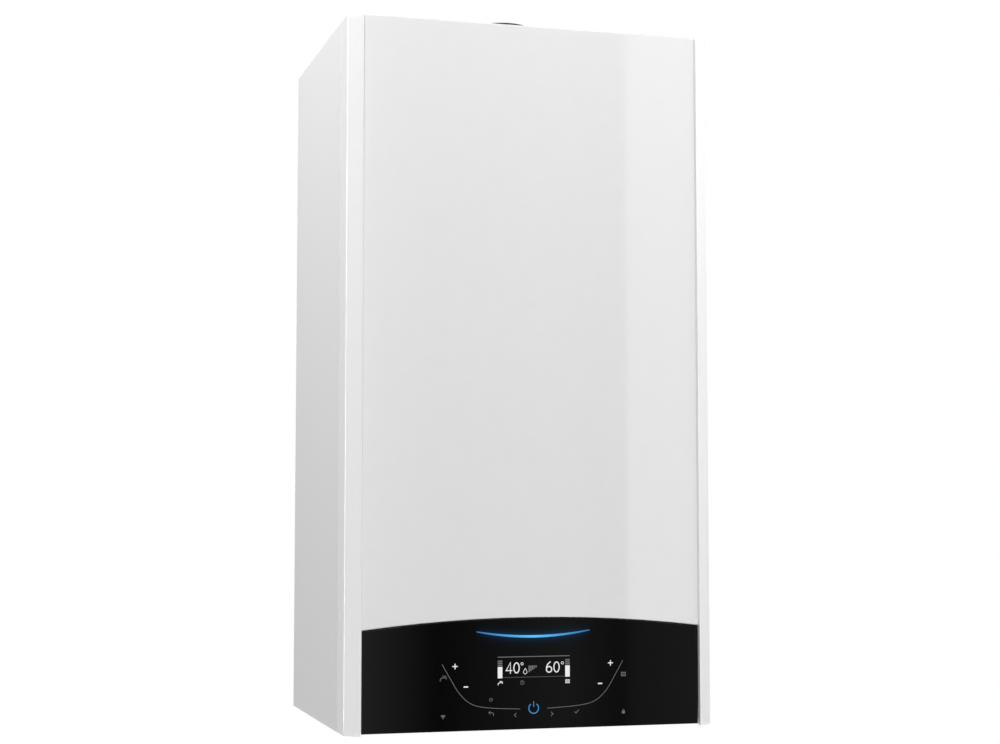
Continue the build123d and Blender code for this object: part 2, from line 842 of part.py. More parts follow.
def heat_exchanger():
    """Round stainless shell with ribs, the neck for the flue duct and the condensate drain."""
    shell = rod_y(exchanger_radius - exchanger_rib_height, exchanger_x, (-exchanger_front, -exchanger_back), exchanger_z)
    span = exchanger_front - exchanger_back - exchanger_rib_width
    for number in range(exchanger_rib_count):
        y = -exchanger_front + number * span / (exchanger_rib_count - 1)
        shell += rod_y(exchanger_radius, exchanger_x, (y, y + exchanger_rib_width), exchanger_z)
    neck_radius = exhaust_radius + exhaust_wall
    shell += rod_z(neck_radius, exchanger_x, flue_y, (exchanger_z + 60, exchanger_neck_top))
    bore = exhaust_radius - exhaust_seat_step + exhaust_wall + light_clearance
    shell -= rod_z(bore, exchanger_x, flue_y, (exchanger_neck_top - 18, exchanger_neck_top + 1))
    shell += rod_z(10, exchanger_x, trap_y, (trap_top - 8, exchanger_z - exchanger_radius + 20))
    for x, y in ((flow_pipe_x, flow_pipe_high_y), (return_pipe_x, return_pipe_y)):
        underside = shell_underside(x)
        shell += rod_z(exchanger_stub_radius, x, y, (underside - exchanger_stub_length, underside + 15))
    return shell


def burner_door():
    """Cast door with the channel that brings the gas and air mixture from the fan."""
    front = -exchanger_front - door_thickness
    door = rod_y(door_radius, exchanger_x, (front, -exchanger_front), exchanger_z)
    outlet_x = fan_outlet_middle()
    channel = make_hull(
        (Pos(exchanger_x, exchanger_z) * Circle(manifold_radius)).edges()
        + (Pos(outlet_x, exchanger_z - 12) * Circle(manifold_end_radius)).edges()
    )
    half = fan_outlet_width / 2 + 2
    bend = Pos(outlet_x, (exchanger_z + fan_outlet_top) / 2 - 6)
    channel += bend * Rectangle(2 * half, exchanger_z - fan_outlet_top - 12)
    body = push_front(channel, (front - manifold_depth, front))
    body = chamfer(body.faces().sort_by(Axis.Y)[0].edges(), 6)
    return door + body


def door_nut_places():
    """Centres of the nuts round the burner door, clear of the mixture channel."""
    places = []
    for number in range(door_nut_count):
        angle = math.radians(24 + 360 * number / door_nut_count)
        places.append((exchanger_x + door_nut_circle * math.cos(angle), exchanger_z + door_nut_circle * math.sin(angle)))
    return places


def door_nuts():
    """Nuts on the studs of the heat exchanger."""
    front = -exchanger_front - door_thickness
    nuts = []
    for x, z in door_nut_places():
        nut = push_front(Pos(x, z) * RegularPolygon(nut_across / 2, 6, major_radius=False), (front - nut_height, front))
        nuts.append(nut + rod_y(nut_across / 4, x, (front - nut_height - 4, front - nut_height), z))
    return nuts


def ignition_electrode():
    """Ceramic ignition and flame sensing electrodes on the burner door."""
    front = -exchanger_front - door_thickness
    x = exchanger_x - 22
    z = exchanger_z + 58
    body = block((x - 14, x + 14), (front - 3, front), (z - 8, z + 8))
    for side in (-1, 1):
        body += rod_y(4, x + side * 7, (front - 20, front - 3), z)
        body += rod_y(1.5, x + side * 7, (front - 30, front - 20), z)
    return body


# The fan.

def fan_outlet_middle():
    """Centre of the upright fan outlet."""
    return fan_x - scroll_last_radius() + fan_outlet_width / 2


def scroll_last_radius():
    """Radius of the scroll where it meets the outlet."""
    return scroll_first_radius + 3 * scroll_growth


def scroll_face(inset):
    """The scroll outline from quarter arcs of growing radius, with its upright outlet."""
    step = scroll_growth
    edges = []
    centre_x, centre_z = fan_x, fan_z
    start = (centre_x, centre_z + scroll_first_radius - inset)
    directions = [(0, 1), (1, 0), (0, -1), (-1, 0)]
    point = start
    radius = scroll_first_radius - inset
    for number in range(3):
        here = directions[number]
        there = directions[number + 1]
        end = (centre_x + there[0] * radius, centre_z + there[1] * radius)
        half = math.sqrt(0.5)
        middle = (centre_x + (here[0] + there[0]) * half * radius, centre_z + (here[1] + there[1]) * half * radius)
        edges.append(ThreePointArc(point, middle, end))
        point = end
        centre_x -= there[0] * step
        centre_z -= there[1] * step
        radius += step
    left = point[0]
    right = fan_x - scroll_last_radius() + fan_outlet_width - inset
    top = fan_outlet_top + (1 if inset else 0)
    edges.append(Line(point, (left, top)))
    edges.append(Line((left, top), (right, top)))
    edges.append(Line((right, top), (right, start[1])))
    edges.append(Line((right, start[1]), start))
    return make_face(edges)


def fan_scroll():
    """The cast scroll, open towards the front, with the inlet at the back."""
    back = -exchanger_front
    front = scroll_front + scroll_wall
    body = push_front(scroll_face(0), (front, back))
    body -= push_front(scroll_face(scroll_wall), (front - 1, back - scroll_wall))
    return body - rod_y(fan_inlet_radius, fan_x, (back - 2 * scroll_wall, back + 1), fan_z)


def fan_cover():
    """The plate that closes the scroll and carries the motor."""
    body = push_front(scroll_face(0), (scroll_front, scroll_front + scroll_wall))
    return body - rod_y(fan_shaft_radius + rotor_gap, fan_x, (scroll_front - 1, scroll_front + 2 * scroll_wall), fan_z)


def fan_impeller():
    """Backward-leaning impeller: a hub plate with its shaft, a ring of blades and a front ring."""
    plate_front = scroll_front + scroll_wall + 5
    back = plate_front + impeller_height
    body = rod_y(impeller_radius, fan_x, (plate_front, plate_front + impeller_plate), fan_z)
    body += rod_y(fan_hub_radius, fan_x, (plate_front, plate_front + 10), fan_z)
    body += rod_y(fan_shaft_radius, fan_x, (scroll_front - 12, plate_front), fan_z)
    ring = rod_y(impeller_radius, fan_x, (back - impeller_plate, back), fan_z)
    body += ring - rod_y(blade_inner_radius + 1, fan_x, (back - 2 * impeller_plate, back + 1), fan_z)
    span = (plate_front + impeller_plate / 2, back - impeller_plate / 2)
    length = impeller_radius - blade_inner_radius - 2
    blade = block((0, length), span, (-blade_thickness / 2, blade_thickness / 2))
    for number in range(blade_count):
        turn = Pos(fan_x, 0, fan_z) * Rot(0, 360 * number / blade_count, 0)
        body += turn * Pos(blade_inner_radius, 0, 0) * Rot(0, blade_sweep, 0) * blade
    return body


def fan_motor():
    """The external rotor motor on the front of the fan, with its plug."""
    front = scroll_front - fan_motor_height
    body = rod_y(fan_motor_radius, fan_x, (front, scroll_front), fan_z)
    body = chamfer(body.edges().filter_by(GeomType.CIRCLE).sort_by(Axis.Y)[:1], 7)
    for number in range(fan_motor_rib_count):
        rib = block((fan_motor_radius - 12, fan_motor_radius - 3), (front - 1, front + 2), (-1, 1))
        body -= Pos(fan_x, 0, fan_z) * Rot(0, 360 * number / fan_motor_rib_count, 0) * Pos(-10, 0, 0) * rib
    body -= rod_y(fan_shaft_radius + rotor_gap, fan_x, (scroll_front - 14, scroll_front + 1), fan_z)
    plug_x = fan_x + fan_motor_radius
    return body + block((plug_x - 8, plug_x + 10), (scroll_front - 12, scroll_front), (fan_z - 12, fan_z + 12))


def gas_mixer():
    """The venturi behind the fan inlet, with the gas port underneath."""
    back = -exchanger_front
    body = rod_y(mixer_radius, fan_x, (back, back + mixer_length), fan_z)
    body += rod_y(mixer_radius + 6, fan_x, (back, back + 5), fan_z)
    body -= rod_y(fan_inlet_radius, fan_x, (back - 1, back + mixer_length + 1), fan_z)
    port_top = fan_z - mixer_radius + 4
    return body + rod_z(11, fan_x, mixer_y, (gas_port_bottom, port_top))


def air_silencer():
    """The intake pipe that draws air from the top of the case."""
    start = -exchanger_front + mixer_length
    path = [(fan_x, start, fan_z), (fan_x, intake_y, fan_z), (fan_x, intake_y, intake_top)]
    outer = pipe(path, intake_radius, intake_bend)
    mouth = rod_z(intake_radius + 5, fan_x, intake_y, (intake_top - 90, intake_top - 10))
    mouth += rod_z(intake_radius + 2, fan_x, intake_y, (intake_top - 94, intake_top))
    return outer + mouth - pipe(path, intake_radius - 2, intake_bend)


# The gas side.

def gas_valve():
    """The die-cast gas valve with its regulator cap."""
    back = -gas_valve_front + gas_valve_depth
    x = (fan_x - gas_valve_half_width, fan_x + gas_valve_half_width)
    body = block(x, (-gas_valve_front, back), (gas_valve_bottom, gas_valve_top))
    body = fillet(body.edges().filter_by(Axis.Y), 5)
    body += rod_z(14, fan_x, gas_y, (gas_valve_bottom - 7, gas_valve_bottom))
    body += rod_z(14, fan_x, mixer_y, (gas_valve_top, gas_valve_top + 7))
    return body + rod_x(12, (x[1], x[1] + 16), -gas_valve_front + 24, (gas_valve_bottom + gas_valve_top) / 2)


def gas_valve_coils():
    """The two coils and the plug on the front of the gas valve."""
    front = -gas_valve_front
    middle = (gas_valve_bottom + gas_valve_top) / 2
    coils = []
    for side in (-1, 1):
        coils.append(rod_y(gas_coil_radius - 1, fan_x, (front - gas_coil_length, front), middle + side * gas_coil_radius))
    return coils


def gas_inlet_pipe():
    """Pipe from the gas connection up and across to the valve, with its threaded end."""
    low = connection_bottom
    points = [
        (0, connection_y, low + thread_length),
        (0, connection_y, gas_run_height),
        (fan_x, connection_y, gas_run_height),
        (fan_x, gas_y, gas_run_height),
        (fan_x, gas_y, gas_valve_bottom - 7),
    ]
    body = pipe(points, water_pipe_radius, 17)
    body += rod_z(large_thread_radius, 0, connection_y, (low, low + thread_length))
    body += hexagon_z(30, 0, connection_y, (low + thread_length, low + thread_length + 9))
    return body - rod_z(water_pipe_radius - 1, 0, connection_y, (low - 1, low + thread_length))


def gas_outlet_pipe():
    """Short pipe with a union nut, from the valve to the mixer."""
    low = gas_valve_top + 7
    body = rod_z(9, fan_x, mixer_y, (low, gas_port_bottom))
    return body + hexagon_z(26, fan_x, mixer_y, (low + 3, low + 12))


# The water side.

def threaded_stub(number, radius):
    """A threaded connection below a block, with its bore, as the parts to add and to take away."""
    x = number * connection_pitch
    thread = rod_z(radius, x, connection_y, (connection_bottom, connection_bottom + thread_length))
    neck = rod_z(radius - 1.5, x, connection_y, (connection_bottom, block_bottom))
    bore = rod_z(radius - 4, x, connection_y, (connection_bottom - 1, block_bottom))
    return thread + neck, bore


def water_block(side):
    """Common body of the two water blocks, with a threaded stub at each of its two places."""
    x = sorted((side * manifold_half_gap, side * manifold_outer))
    body = block(x, (-manifold_front, -manifold_rear), (block_bottom, manifold_top - 25))
    body = fillet(body.edges().filter_by(Axis.Z), 12)
    for number, radius in ((1, small_thread_radius), (2, large_thread_radius)):
        stub, bore = threaded_stub(side * number, radius)
        body += stub
        body -= bore
        body += rod_z(18, side * number * connection_pitch, connection_y, (manifold_top - 25, manifold_top))
    seat_x = side * (plate_exchanger_half_width - 24)
    for z in plate_port_heights():
        body += rod_y(11, seat_x, (-manifold_front - 6, -manifold_front + 5), z)
    return body


def plate_port_heights():
    """Heights of the ports of the plate heat exchanger."""
    return plate_exchanger_bottom + 14, plate_exchanger_top - 14


def flow_manifold():
    """The left water block with the tower of the diverter valve and the port of the flow pipe."""
    body = water_block(-1)
    body += rod_z(diverter_tower_radius, diverter_x, diverter_y, (block_bottom + 10, diverter_tower_top))
    body += rod_z(13, flow_pipe_x, flow_pipe_low_y, (block_bottom + 20, manifold_top))
    chamber_top = diverter_tower_top - 22
    chamber = rod_z(spindle_disc_radius + 1, diverter_x, diverter_y, (chamber_top - chamber_height, chamber_top))
    guide = rod_z(spindle_radius + rotor_gap, diverter_x, diverter_y, (chamber_top - 1, diverter_tower_top + 1))
    return body - chamber - guide


def diverter_spindle():
    """The spindle of the diverter valve with its sealing disc, at rest in its upper position."""
    chamber_top = diverter_tower_top - 22
    disc_top = chamber_top - 1
    disc = rod_z(spindle_disc_radius, diverter_x, diverter_y, (disc_top - spindle_disc_height, disc_top))
    return disc + rod_z(spindle_radius, diverter_x, diverter_y, (disc_top, diverter_tower_top + 8))


def diverter_motor():
    """The clip-on motor that pushes the diverter spindle."""
    half = diverter_motor_half_width
    z = (diverter_tower_top, diverter_motor_top)
    body = block((diverter_x - half, diverter_x + half), (diverter_y - half, diverter_y + half), z)
    body = fillet(body.edges().filter_by(Axis.Z), 7)
    body = chamfer(body.faces().sort_by(Axis.Z)[-1].edges(), 3)
    body -= rod_z(spindle_radius + 1, diverter_x, diverter_y, (z[0] - 1, z[0] + 10))
    return body + block((diverter_x - 8, diverter_x + 8), (diverter_y - half - 9, diverter_y - half), (z[0] + 8, z[0] + 22))


def plate_heat_exchanger():
    """A brazed stack of plates with a rim that stands out on every second one, and four ports."""
    back = -manifold_front - 6
    pitch = plate_exchanger_depth / plate_count
    body = None
    for number in range(plate_count):
        inset = 2.0 if number % 2 else 0.0
        half = plate_exchanger_half_width - inset
        height = plate_exchanger_top - plate_exchanger_bottom - 2 * inset
        face = Pos(0, (plate_exchanger_top + plate_exchanger_bottom) / 2) * RectangleRounded(2 * half, height, 16)
        y = back - (number + 1) * pitch
        plate = push_front(face, (y, y + pitch))
        body = plate if body is None else body + plate
    return body


def return_manifold():
    """The right water block with the pump chamber, the return branch and the seat of the safety valve."""
    body = water_block(1)
    body += rod_y(volute_radius, pump_x, (-volute_front, -volute_back), pump_z)
    body += rod_x(13, (return_pipe_x + 20, pump_x), -volute_back - 24, pump_z)
    body += rod_z(20, pump_x, -volute_back - 30, (block_bottom + 20, pump_z - 20))
    body += rod_y(13, relief_x, (-manifold_front - 3, -manifold_front + 10), relief_z)
    chamber_y = (-volute_front - 1, -volute_front + pump_chamber_depth)
    return body - rod_y(pump_chamber_radius, pump_x, chamber_y, pump_z)


def pump_motor():
    """The wet-rotor motor of the pump with its terminal box."""
    front = -volute_front - pump_motor_length
    body = rod_y(pump_motor_radius, pump_x, (front, -volute_front), pump_z)
    body = chamfer(body.edges().filter_by(GeomType.CIRCLE).sort_by(Axis.Y)[:1], 6)
    body += rod_y(pump_motor_radius + 4, pump_x, (-volute_front - 7, -volute_front), pump_z)
    body += block((pump_x + 22, pump_x + 52), (front + 12, -volute_front - 12), (pump_z - 26, pump_z + 26))
    return body - rod_y(pump_shaft_radius + rotor_gap, pump_x, (-volute_front - 42, -volute_front + 1), pump_z)


def pump_impeller():
    """The pump rotor: a shaft, a disc and a ring of curved vanes."""
    front = -volute_front + 2
    body = rod_y(pump_impeller_radius, pump_x, (front, front + 2), pump_z)
    body += rod_y(pump_shaft_radius, pump_x, (-volute_front - 40, front), pump_z)
    body += rod_y(7, pump_x, (front, front + pump_impeller_height), pump_z)
    for number in range(pump_vane_count):
        vane = block((5, pump_impeller_radius - 1), (front, front + pump_impeller_height), (-0.9, 0.9))
        body += Pos(pump_x, 0, pump_z) * Rot(0, 360 * number / pump_vane_count, 0) * Rot(0, 14, 0) * vane
    return body


def air_vent():
    """The automatic air vent on top of the pump."""
    y = -volute_back - 20
    low = pump_z + volute_radius - 6
    body = rod_z(6, pump_x + 22, y, (pump_z + vent_seat_rise(), low + 8))
    body += rod_z(14, pump_x + 22, y, (low + 8, low + 38))
    body += rod_z(7, pump_x + 22, y, (low + 38, low + 46))
    return body


def vent_seat_rise():
    """Height of the pump body above its centre where the air vent stands."""
    return math.sqrt(volute_radius ** 2 - 16 ** 2) + fit_gap


def safety_valve():
    """The pressure relief valve in front of the return block, with its drain through the bottom plate."""
    front = -manifold_front - 3
    body = rod_y(14, relief_x, (front - 24, front), relief_z)
    body -= rod_y(4 + rotor_gap, relief_x, (front - 25, front - 12), relief_z)
    drain_y = -manifold_front - 14
    spigot_top = bottom_plate_height - relief_spigot_drop
    body += rod_z(relief_tube_radius, relief_x, drain_y, (spigot_top, relief_z - 6))
    body += rod_z(relief_drain_radius, relief_x, drain_y, (spigot_top - relief_spigot_length, spigot_top))
    return body - rod_z(relief_bore_radius, relief_x, drain_y, (connection_bottom, relief_z - 16))


def relief_knob():
    """The fluted knob that lifts the safety valve by hand."""
    front = -manifold_front - 3 - 24
    knob = rod_y(15, relief_x, (front - 16, front - 0.5), relief_z)
    for number in range(8):
        angle = math.radians(45 * number)
        knob -= rod_y(3, relief_x + 16 * math.cos(angle), (front - 17, front), relief_z + 16 * math.sin(angle))
    return knob + rod_y(4, relief_x, (front - 0.5, front + 11), relief_z)


def filling_tap_body():
    """The seat of the filling tap under the return block."""
    body = rod_z(9, tap_x, tap_y, (bottom_plate_height - 8, block_bottom))
    return body - rod_z(4 + rotor_gap, tap_x, tap_y, (0, block_bottom - 2))


def filling_tap_knob():
    """The winged knob of the filling tap, reached from below."""
    top = bottom_plate_height - 8 - 0.5
    low = top - 24
    knob = rod_z(tap_knob_radius - 5, tap_x, tap_y, (low, top))
    wing = block((tap_x - tap_knob_radius, tap_x + tap_knob_radius), (tap_y - 3, tap_y + 3), (low, top - 6))
    knob += fillet(wing.edges().filter_by(Axis.Y), 2.5)
    return knob + rod_z(4, tap_x, tap_y, (top, block_bottom - 4))


def expansion_vessel():
    """The flat expansion vessel on the back plate, two pressed halves with a seam between them."""
    back = frame_front - fit_gap
    middle = (back - vessel_front) / 2
    width = 2 * vessel_half_width
    height = vessel_top - vessel_bottom
    face = Pos(0, (vessel_top + vessel_bottom) / 2) * RectangleRounded(width, height, vessel_corner)
    body = push_front(face, (-vessel_front, back))
    ends = body.faces().sort_by(Axis.Y)
    body = chamfer(ends[0].edges() + ends[-1].edges(), vessel_edge)
    seam = Pos(0, (vessel_top + vessel_bottom) / 2) * RectangleRounded(width + 6, height + 6, vessel_corner + 3)
    return body + push_front(seam, (middle - 1.5, middle + 1.5))


def vessel_pipe():
    """Pipe from the return block to the foot of the expansion vessel."""
    low = manifold_top - 25
    top = vessel_bottom - 3
    body = rod_z(5, vessel_pipe_x, vessel_pipe_y, (low, top))
    return body + hexagon_z(16, vessel_pipe_x, vessel_pipe_y, (top - 12, top - 2))


def shell_underside(x):
    """Height of the underside of the heat exchanger at x, inside its ribs."""
    radius = exchanger_radius - exchanger_rib_height
    return exchanger_z - math.sqrt(radius ** 2 - (x - exchanger_x) ** 2)


def flow_pipe():
    """Copper pipe from the heat exchanger down to the flow block."""
    top = shell_underside(flow_pipe_x) - exchanger_stub_length
    points = [
        (flow_pipe_x, flow_pipe_low_y, manifold_top),
        (flow_pipe_x, flow_pipe_low_y, manifold_top + 50),
        (flow_pipe_x, flow_pipe_high_y, manifold_top + 90),
        (flow_pipe_x, flow_pipe_high_y, top),
    ]
    body = pipe(points, water_pipe_radius, pipe_bend)
    return body + hexagon_z(27, flow_pipe_x, flow_pipe_high_y, (top - 14, top))


def return_pipe():
    """Copper pipe from the pump up to the heat exchanger."""
    top = shell_underside(return_pipe_x) - exchanger_stub_length
    points = [
        (return_pipe_x + 20, return_pipe_y, pump_z),
        (return_pipe_x, return_pipe_y, pump_z),
        (return_pipe_x, return_pipe_y, top),
    ]
    body = pipe(points, water_pipe_radius, 19)
    return body + hexagon_z(27, return_pipe_x, return_pipe_y, (top - 14, top))


def water_sensors():
    """Clip-on temperature probes on both pipes, and the pressure sensor on the flow block."""
    probes = []
    for x, y in ((flow_pipe_x, flow_pipe_high_y), (return_pipe_x, return_pipe_y)):
        reach = water_pipe_radius + 3
        z = (probe_height, probe_height + 16)
        clip = block((x - reach, x + reach), (y - reach - 6, y + reach), z)
        probes.append(clip - rod_z(water_pipe_radius + light_clearance, x, y, (z[0] - 1, z[1] + 1)))
    sensor_x = -connection_pitch
    sensor = rod_z(9, sensor_x, -manifold_front + 30, (manifold_top - 25, manifold_top))
    sensor += hexagon_z(22, sensor_x, -manifold_front + 30, (manifold_top - 20, manifold_top - 12))
    return probes + [sensor]


def condensate_trap():
    """The bottle trap under the heat exchanger, with its screwed cup and side outlet."""
    body = rod_z(trap_radius - 3, exchanger_x, trap_y, (trap_bottom + 40, trap_top - 12))
    body += rod_z(trap_radius, exchanger_x, trap_y, (trap_bottom, trap_bottom + 40))
    body += rod_z(14, exchanger_x, trap_y, (trap_top - 12, trap_top))
    body -= rod_z(10 + light_clearance, exchanger_x, trap_y, (trap_top - 8.3, trap_top + 1))
    outlet = rod_x(hose_radius, (exchanger_x - trap_radius - 12, exchanger_x), trap_y, trap_outlet_z)
    return body + outlet


def condensate_hose():
    """The drain hose from the trap to the spigot under the bottom plate."""
    start = exchanger_x - trap_radius - 12
    points = [
        (start, trap_y, trap_outlet_z),
        (start - 30, trap_y, trap_outlet_z),
        (hose_x, trap_y, trap_outlet_z - 45),
        (hose_x, trap_y, plate_top + 14),
    ]
    body = pipe(points, hose_radius, 26)
    spigot = rod_z(hose_radius + 2, hose_x, trap_y, (plate_top, plate_top + 14))
    spigot += rod_z(hose_radius, hose_x, trap_y, (bottom_plate_height - 4, plate_top))
    spigot += rod_z(condensate_spigot_radius, hose_x, trap_y, (connection_bottom, bottom_plate_height - 4))
    return body + spigot


# More places worked out from the sizes above.
light_clearance = 0.1
bracket_outer = housing_half_width + bracket_gap + bracket_thickness
swing_radius = arch_at(housing_half_width) - hinge_height - swing_gap
trap_y = diverter_y
gas_y = -gas_valve_front + gas_valve_depth - 16
mixer_y = -exchanger_front + 22
gas_port_bottom = fan_z - mixer_radius - 9
intake_y = -exchanger_front + mixer_length + intake_bend + 2
flow_pipe_x = -92.0
flow_pipe_low_y = -95.0
flow_pipe_high_y = -117.0
return_pipe_x = 30.0
return_pipe_y = -volute_back - 24
vessel_pipe_x = 95.0
vessel_pipe_y = (frame_front - fit_gap - vessel_front) / 2
chamber_height = diverter_travel + spindle_disc_height + 2
trap_outlet_z = trap_bottom + 52
gland_places = ((-128.0, -200.0), (-96.0, -200.0))

NODES = {
    "front_panel": front_panel,
    "right_trim": trim,
    "left_trim": lambda: mirror(trim(), about=Plane.YZ),
    "trim_end_caps": trim_caps,
    "casing_insulation": casing_insulation,
    "casing_screws": casing_screws,
    "fascia": fascia,
    "light_guide": light_guide,
    "display_module": display_module,
    "touch_board": touch_board,
    "control_housing": control_housing,
    "control_lid": control_lid,
    "main_board": main_board,
    "board_components": board_components,
    "hinge_brackets": hinge_brackets,
    "right_side_panel": side_panel,
    "left_side_panel": lambda: mirror(side_panel(), about=Plane.YZ),
    "wall_bracket": wall_bracket,
    "back_frame": back_frame,
    "exchanger_rail": exchanger_rail,
    "top_plate": top_plate,
    "bottom_plate": bottom_plate,
    "cable_glands": cable_glands,
    "flue_collar": flue_collar,
    "flue_seal": flue_seal,
    "test_point_caps": test_point_caps,
    "flue_duct": flue_duct,
    "heat_exchanger": heat_exchanger,
    "burner_door": burner_door,
    "door_nuts": door_nuts,
    "ignition_electrode": ignition_electrode,
    "fan_scroll": fan_scroll,
    "fan_cover": fan_cover,
    "fan_impeller": fan_impeller,
    "fan_motor": fan_motor,
    "gas_mixer": gas_mixer,
    "air_silencer": air_silencer,
    "gas_valve": gas_valve,
    "gas_valve_coils": gas_valve_coils,
    "gas_inlet_pipe": gas_inlet_pipe,
    "gas_outlet_pipe": gas_outlet_pipe,
    "flow_manifold": flow_manifold,
    "diverter_spindle": diverter_spindle,
    "diverter_motor": diverter_motor,
    "plate_heat_exchanger": plate_heat_exchanger,
    "return_manifold": return_manifold,
    "pump_motor": pump_motor,
    "pump_impeller": pump_impeller,
    "air_vent": air_vent,
    "safety_valve": safety_valve,
    "relief_knob": relief_knob,
    "filling_tap_body": filling_tap_body,
    "filling_tap_knob": filling_tap_knob,
    "expansion_vessel": expansion_vessel,
    "vessel_pipe": vessel_pipe,
    "flow_pipe": flow_pipe,
    "return_pipe": return_pipe,
    "water_sensors": water_sensors,
    "condensate_trap": condensate_trap,
    "condensate_hose": condensate_hose,
}



def build():
    """Write one STEP file per node."""
    os.makedirs("parts", exist_ok=True)
    for name, make in NODES.items():
        made = make()
        solids = made if isinstance(made, (list, ShapeList)) else [made]
        lowered = [Pos(0, 0, -hang_height) * solid for solid in solids]
        shape = lowered[0] if len(lowered) == 1 else Compound(children=lowered)
        export_step(shape, f"parts/{name}.step")
        print(name, len(solids))


if __name__ == "__main__":
    build()
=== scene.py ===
import json
import math

import bmesh
import bpy
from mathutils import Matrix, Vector


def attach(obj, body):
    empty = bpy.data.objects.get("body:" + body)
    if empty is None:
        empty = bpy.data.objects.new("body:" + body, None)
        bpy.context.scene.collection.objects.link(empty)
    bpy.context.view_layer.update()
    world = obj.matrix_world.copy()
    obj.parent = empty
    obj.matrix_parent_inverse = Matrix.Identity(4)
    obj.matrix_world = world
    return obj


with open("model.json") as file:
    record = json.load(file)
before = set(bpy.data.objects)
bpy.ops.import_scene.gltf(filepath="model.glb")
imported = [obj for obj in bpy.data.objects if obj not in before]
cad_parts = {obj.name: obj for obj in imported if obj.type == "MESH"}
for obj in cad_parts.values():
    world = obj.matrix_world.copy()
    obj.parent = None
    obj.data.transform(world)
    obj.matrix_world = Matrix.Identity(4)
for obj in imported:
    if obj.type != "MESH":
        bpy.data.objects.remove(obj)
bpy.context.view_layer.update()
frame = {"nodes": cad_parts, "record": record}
nodes = frame["nodes"]

# Places are metres in the frame of the CAD model: its origin lies midway between the wall screws.
MM = 0.001
CASE_BOTTOM = -0.690
FRONT_Y = -0.319
PANEL_RECESS = 5.5 * MM
WHITE = (1, 1, 1, 1)

# The camera, as fitted to the photograph.
CAMERA_PLACE = Vector((-0.56373, -2.18039, -0.46130))
CAMERA_TARGET = Vector((-0.03801, -0.319, -0.31735))
CAMERA_LENS = 66.72
SENSOR_WIDTH = 36.0

# The room: an even light, and a pale floor below the case.
ROOM_LIGHT = 0.31
FLOOR_DROP = 1.2
FLOOR_SIZE = 30.0
FLOOR_COLOUR = (0.85, 0.85, 0.85, 1)

# Nodes that some lamps leave out, because the rest of the light is enough for them.
ROOF = ("top_plate", "flue_collar", "flue_duct", "left_side_panel", "right_side_panel", "left_trim")
CASING = ("front_panel", "left_trim", "right_trim")
FRONT_AND_RIGHT = ("front_panel", "right_trim")

# The lamps, each with its name, place, target, size and power. The last column names the only nodes
# that it lights, or those that it leaves out.
LAMPS = (
    ("top_lamp", (0.0, -1.1, 1.2), (0, -0.3, -0.2), (1.4, 1.0), 15, {"without": ROOF}),
    ("left_lamp", (-1.0, -0.25, 0.7), (-0.2, -0.2, -0.1), (0.5, 0.5), 11, {"without": FRONT_AND_RIGHT}),
    ("right_lamp", (1.4, -1.4, 0.9), (0.2, -0.3, -0.1), (0.9, 0.9), 15, {"without": CASING}),
    ("front_lamp", (-0.2, -6.0, -0.2), (0, -0.3, -0.4), (3.0, 3.0), 92, {}),
    ("left_trim_lamp", (-0.9, -1.6, -0.9), (-0.2, -0.3, -0.5), (0.4, 0.4), 1.2, {"only": ("left_trim",)}),
    ("right_trim_lamp", (0.9, -0.9, 0.5), (0.2, -0.3, 0.0), (0.4, 0.4), 4.8, {"only": ("right_trim",)}),
)

# A card behind the camera, which only mirrors see: its steps show in the fascia and the front panel.
# Steps are places along a card, from 0 to 1, with their brightness.
CARD_Y = -2.5
CARD_HEIGHT = 6.0
CARD_LEFT = 0.20
CARD_EDGE = 0.884
CARD_RIGHT = 1.40
CARD_STEPS = ((0.0, 0.95), (0.34, 0.04), (0.78, 0.45), (0.999, 0.12))
CARD_STEPS_BEYOND = ((0.0, 0.32), (1.0, 0.9))

# A greyer card behind the wall on the left, which dims what the left side panel mirrors.
SIDE_CARD_LEFT = -1.8
SIDE_CARD_RIGHT = -0.25
SIDE_CARD_Y = 1.5
SIDE_CARD_STEPS = ((0.0, 0.85), (1.0, 0.6))

# A tall strip light just before the card, from the card's edge rightwards: the front panel alone mirrors it.
STRIP_LIFT = 0.01
STRIP_WIDTH = 0.155
STRIP_POWER = 7.2
STRIP_X = CARD_EDGE + STRIP_WIDTH / 2

# A tall lamp behind the wall on the left, which only the rounded corner of the left trim mirrors.
CORNER_PLACE = (-2.2, 0.35, -0.3)
CORNER_TARGET = (-0.2, -0.3, -0.3)
CORNER_SIZE = (0.5, 2.2)
CORNER_POWER = 36


# Camera, lamps, floor and background.

def make_camera():
    data = bpy.data.cameras.new("camera")
    data.lens = CAMERA_LENS
    data.sensor_width = SENSOR_WIDTH
    camera = bpy.data.objects.new("camera", data)
    camera.location = CAMERA_PLACE
    camera.rotation_euler = (CAMERA_TARGET - CAMERA_PLACE).to_track_quat("-Z", "Y").to_euler()
    bpy.context.collection.objects.link(camera)
    bpy.context.scene.camera = camera


def area_lamp(name, place, target, size, power, only=(), without=()):
    """A soft rectangular lamp at a place, facing the target; size is its width and height.

    Where only names nodes, the lamp lights nothing else; where without does, it lights all but those."""
    data = bpy.data.lights.new(name, "AREA")
    data.shape = "RECTANGLE"
    data.size, data.size_y = size
    data.energy = power
    lamp = bpy.data.objects.new(name, data)
    lamp.location = place
    lamp.rotation_euler = (Vector(target) - Vector(place)).to_track_quat("-Z", "Y").to_euler()
    bpy.context.collection.objects.link(lamp)
    if only or without:
        receivers = bpy.data.collections.new(name + "_nodes")
        for node in only or without:
            receivers.objects.link(bpy.data.objects[node])
        for entry in receivers.collection_objects:
            entry.light_linking.link_state = "INCLUDE" if only else "EXCLUDE"
        lamp.light_linking.receiver_collection = receivers
    return lamp


